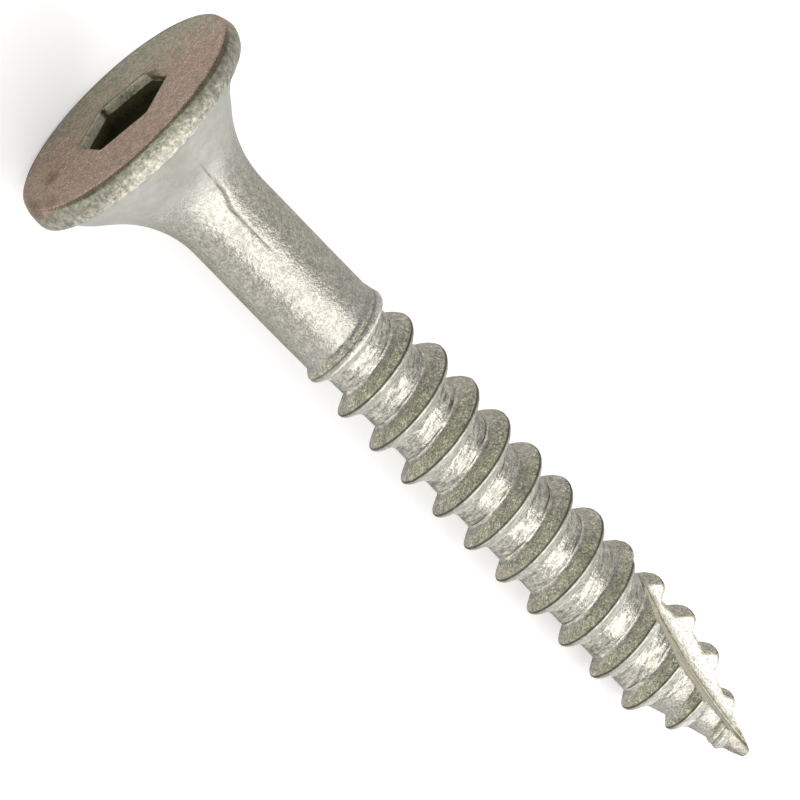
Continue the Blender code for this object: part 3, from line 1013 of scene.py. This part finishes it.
def mask_sockets(tree):
    """The finish masks as sockets, by their numbers."""
    sockets = []
    for title in MASK_LAYERS:
        layer = add(tree, "ShaderNodeAttribute", attribute_name=title)
        parts = add(tree, "ShaderNodeSeparateColor", {0: layer.outputs["Color"]})
        sockets += [*parts.outputs[:3], layer.outputs["Alpha"]]
    return sockets


def streaks(tree):
    """Noise drawn out along the thread's helix, round one half."""
    layer = add(tree, "ShaderNodeAttribute", attribute_name=STREAK_LAYER)
    return add(tree, "ShaderNodeTexNoise", {
        "Vector": layer.outputs["Vector"], "W": layer.outputs["Alpha"], "Scale": 8.5,
        "Detail": 3.0, "Roughness": 0.6}, noise_dimensions="4D").outputs[0]


def zone_finish(tree, masks, noises):
    """Colour and roughness: those of the zones in their order, with blots, scratches and an
    olive cast over them, which is partly painted reflection. The grain makes the borders
    of most zones ragged."""
    mottle, fleck, speck = noises["mottle"], noises["fleck"], noises["speck"]
    colour, gloss = ZINC_COLOUR, ZINC_ROUGHNESS
    ragged = sums(tree, "ADD", sums(tree, "MULTIPLY", fleck, RAGGEDNESS),
                  sums(tree, "MULTIPLY", speck, RAGGEDNESS))
    ragged = sums(tree, "MINIMUM", ragged, RAGGED_MOST)
    for mask, zone_colour, zone_gloss in ZONES:
        share = masks[mask]
        if mask not in SOFT_BORDERS:
            share = spread(tree, sums(tree, "ADD", share, ragged), *BORDER)
        colour = blend(tree, share, colour, zone_colour)
        gloss = mixed(tree, share, gloss, zone_gloss)

    patchy = sums(tree, "ADD", sums(tree, "MULTIPLY", mottle, 0.9), fleck,
                  sums(tree, "MULTIPLY", speck, 0.9))
    blots = spread(tree, sums(tree, "ADD", masks[BLOT], patchy), *BLOT_RANGE)
    colour = blend(tree, blots, colour, BLOT_COLOUR)
    off_line = sums(tree, "ABSOLUTE", sums(tree, "SUBTRACT", mottle, 0.53), 0.0)
    scratches = sums(tree, "MULTIPLY", spread(tree, masks[BLOT], 0.1, 0.4, 0.0, 1.0),
                     spread(tree, off_line, *SCRATCH_RANGE))
    colour = blend(tree, scratches, colour, SCRATCH_COLOUR)
    olive = sums(tree, "MULTIPLY", masks[OLIVE], spread(tree, mottle, 0.3, 0.55, 0.4, 1.0))
    cast = blend(tree, olive, WHITE, OLIVE_CAST)
    return vectors(tree, "MULTIPLY", colour, cast).outputs[0], gloss


def zone_tone(tree, masks, noises):
    """How light the colour is: clouds and mottles everywhere, and grain by zone."""
    medium = tones(tree, noises, GRAIN_TONES)
    fine = sums(tree, "MULTIPLY", medium, tones(tree, noises, DUST_TONES))
    tone = sums(tree, "MULTIPLY", tones(tree, noises, BROAD_TONES),
                mixed(tree, masks[RIM], fine, medium))
    tone = mixed(tree, masks[SMOOTH], tone, tones(tree, noises, SMOOTH_TONES))
    for mask, ranges in ZONE_TONES:
        tone = sums(tree, "MULTIPLY", tone,
                    mixed(tree, masks[mask], 1.0, tones(tree, noises, ranges)))
    return tone


def zone_bumps(tree, masks, noises):
    """The normal, raised by four noises one after another. The bumps are weak on the
    smooth part of the bugle, and the streaks' are on the roots and beside the crests."""
    bumpy = sums(tree, "SUBTRACT", 1.0, sums(tree, "MULTIPLY", masks[SMOOTH], 0.88))
    grooved = sums(tree, "ADD", masks[ROOT], sums(tree, "MULTIPLY", masks[LIT_BAND], 0.4))
    normal = {}
    for name, amount, distance, strength in (
            ("mottle", bumpy, 0.03, 0.9), ("fleck", bumpy, 0.03, 0.9),
            ("streak", grooved, 0.05, 0.9), ("speck", bumpy, 0.02, 1.0)):
        bump = add(tree, "ShaderNodeBump", {
            "Height": sums(tree, "MULTIPLY", noises[name], amount),
            "Distance": distance * MM, "Strength": strength, **normal})
        normal = {"Normal": bump.outputs[0]}
    return normal["Normal"]


def zinc():
    """Zinc plate: satin and grainy, duller on the flanks and the face of the head.

    Five sizes of noise mottle the colour, roughen the gloss and raise the grain. The
    thread's roots have streaks along the helix.
    """
    material, tree, shader = new_material("zinc")
    spot = add(tree, "ShaderNodeTexCoord").outputs["Object"]
    masks = mask_sockets(tree)
    noises = {name: grain(tree, spot, *sizes) for name, sizes in NOISES.items()}
    noises["streak"] = streaks(tree)

    colour, gloss = zone_finish(tree, masks, noises)
    warmth = spread(tree, noises["mottle"], 0.35, 0.65, 0.0, 1.0)
    warmed = vectors(tree, "MULTIPLY", colour, blend(tree, warmth, COOL_CAST, WARM_CAST))
    toned = add(tree, "ShaderNodeVectorMath", {
        0: warmed.outputs[0], "Scale": zone_tone(tree, masks, noises)}, operation="SCALE")
    rough = spread(tree, noises["speck"], 0.3, 0.7, -0.08, 0.08)
    rough = sums(tree, "ADD", gloss, mixed(tree, masks[SMOOTH], rough, 0.0))
    dull = sums(tree, "ADD", *(sums(tree, "MULTIPLY", masks[mask], amount)
                               for mask, amount in DULLNESS))
    tree.links.new(toned.outputs[0], shader.inputs["Base Color"])
    tree.links.new(rough, shader.inputs["Roughness"])
    tree.links.new(sums(tree, "SUBTRACT", METALLIC, dull), shader.inputs["Metallic"])
    tree.links.new(zone_bumps(tree, masks, noises), shader.inputs["Normal"])
    shader.inputs["Specular Tint"].default_value = EDGE_TINT
    return material


def make_stage():
    """A plain pale floor under the screw, lifted to white where it is seen or mirrored."""
    mesh = bpy.data.meshes.new("floor")
    square = [(FLOOR_SIZE * x, FLOOR_SIZE * y, 0.0) for x, y in (
        (-1, -1), (1, -1), (1, 1), (-1, 1))]
    mesh.from_pydata(square, [], [(0, 1, 2, 3)])
    floor = new_object("floor", mesh)
    floor.location.z = cad_box[0].z
    material, tree, shader = new_material("floor")
    shader.inputs["Base Color"].default_value = FLOOR_COLOUR
    shader.inputs["Roughness"].default_value = FLOOR_ROUGHNESS
    shader.inputs["Emission Color"].default_value = WHITE
    path = add(tree, "ShaderNodeLightPath").outputs
    mirrored = sums(tree, "MAXIMUM", path["Is Glossy Ray"], path["Is Transmission Ray"])
    lifted = sums(tree, "MAXIMUM", sums(tree, "MULTIPLY", path["Is Camera Ray"], FLOOR_LIFT),
                  sums(tree, "MULTIPLY", mirrored, FLOOR_LIFT_MIRRORED))
    tree.links.new(lifted, shader.inputs["Emission Strength"])
    mesh.materials.append(material)


def area_light(name, direction, distance, width, height, radiance, level):
    """A soft rectangle of light that faces the screw's middle, its width along a level."""
    data = bpy.data.lights.new(name, "AREA")
    data.shape = "RECTANGLE"
    data.size = width
    data.size_y = height
    data.energy = radiance * math.pi * width * height
    middle = FACE + AXIS * OVERALL_LENGTH / 2 * MM
    back = direction.normalized()
    right = (level - back * level.dot(back)).normalized()
    lamp = new_object(name, data)
    lamp.matrix_world = pose(middle + back * distance, right, back.cross(right), back)


def make_light():
    """A wide soft key over the camera's side, a weak one beyond the tip, and a surround
    that is pale beyond the tip and at the back, and dark beyond the head."""
    key = side(KEY_TURN) * math.cos(KEY_LEAN) + AXIS * math.sin(KEY_LEAN)
    area_light("key", key, KEY_DISTANCE, KEY_SIZE, KEY_SIZE, KEY_RADIANCE, AXIS)
    tip = AXIS * math.cos(TIP_LIGHT_LEAN) + side(KEY_TURN) * math.sin(TIP_LIGHT_LEAN)
    area_light("tip_light", tip, TIP_LIGHT_DISTANCE, TIP_LIGHT_WIDTH, TIP_LIGHT_HEIGHT,
               TIP_LIGHT_RADIANCE, side(KEY_TURN + math.pi / 2))
    world = bpy.data.worlds.new("surround")
    world.use_nodes = True
    tree = world.node_tree
    direction = add(tree, "ShaderNodeTexCoord").outputs["Generated"]
    along = vectors(tree, "DOT_PRODUCT", direction, tuple(AXIS)).outputs["Value"]
    behind = vectors(tree, "DOT_PRODUCT", direction, tuple(side(PHOTO_TOP))).outputs["Value"]
    strength = sums(tree, "ADD", spread(tree, along, -1.0, 1.0, SURROUND_HEAD, SURROUND_TIP),
                    spread(tree, behind, 0.0, 0.8, 0.0, SURROUND_BACK))
    background = tree.nodes["Background"]
    background.inputs["Color"].default_value = SURROUND_COLOUR
    tree.links.new(strength, background.inputs["Strength"])
    bpy.context.scene.world = world


def make_camera():
    """The photograph's view: aimed at a point of the axis, leaning to the head, rolled."""
    front = side(CAMERA_SIDE)
    level = side(CAMERA_SIDE + math.pi / 2)
    back = front * math.cos(CAMERA_LEAN) - AXIS * math.sin(CAMERA_LEAN)
    right = AXIS * math.cos(CAMERA_LEAN) + front * math.sin(CAMERA_LEAN)
    picture_right = right * math.cos(CAMERA_ROLL) + level * math.sin(CAMERA_ROLL)
    picture_up = level * math.cos(CAMERA_ROLL) - right * math.sin(CAMERA_ROLL)
    aim = FACE + (AXIS * CAMERA_AIM + level * CAMERA_AIM_ACROSS) * MM
    data = bpy.data.cameras.new("camera")
    data.sensor_width = SENSOR_WIDTH
    data.lens = FOCAL_PIXELS / PICTURE_PIXELS * SENSOR_WIDTH
    data.clip_start = CLIP_START * MM
    data.clip_end = CLIP_END * MM
    camera = new_object("camera", data)
    camera.matrix_world = pose(aim + back * CAMERA_DISTANCE * MM, picture_right, picture_up,
                               back)
    bpy.context.scene.camera = camera


points, triangles, masks, streak = screw_surface()
layers = {title: masks[:, 4 * i:4 * i + 4] for i, title in enumerate(MASK_LAYERS)}
screw = make_mesh("screw", points, triangles, {**layers, STREAK_LAYER: streak})
screw.data.materials.append(zinc())
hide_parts("batten_screw")
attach(screw, "root")

make_stage()
make_light()
make_camera()
bpy.context.scene.view_settings.view_transform = "Standard"
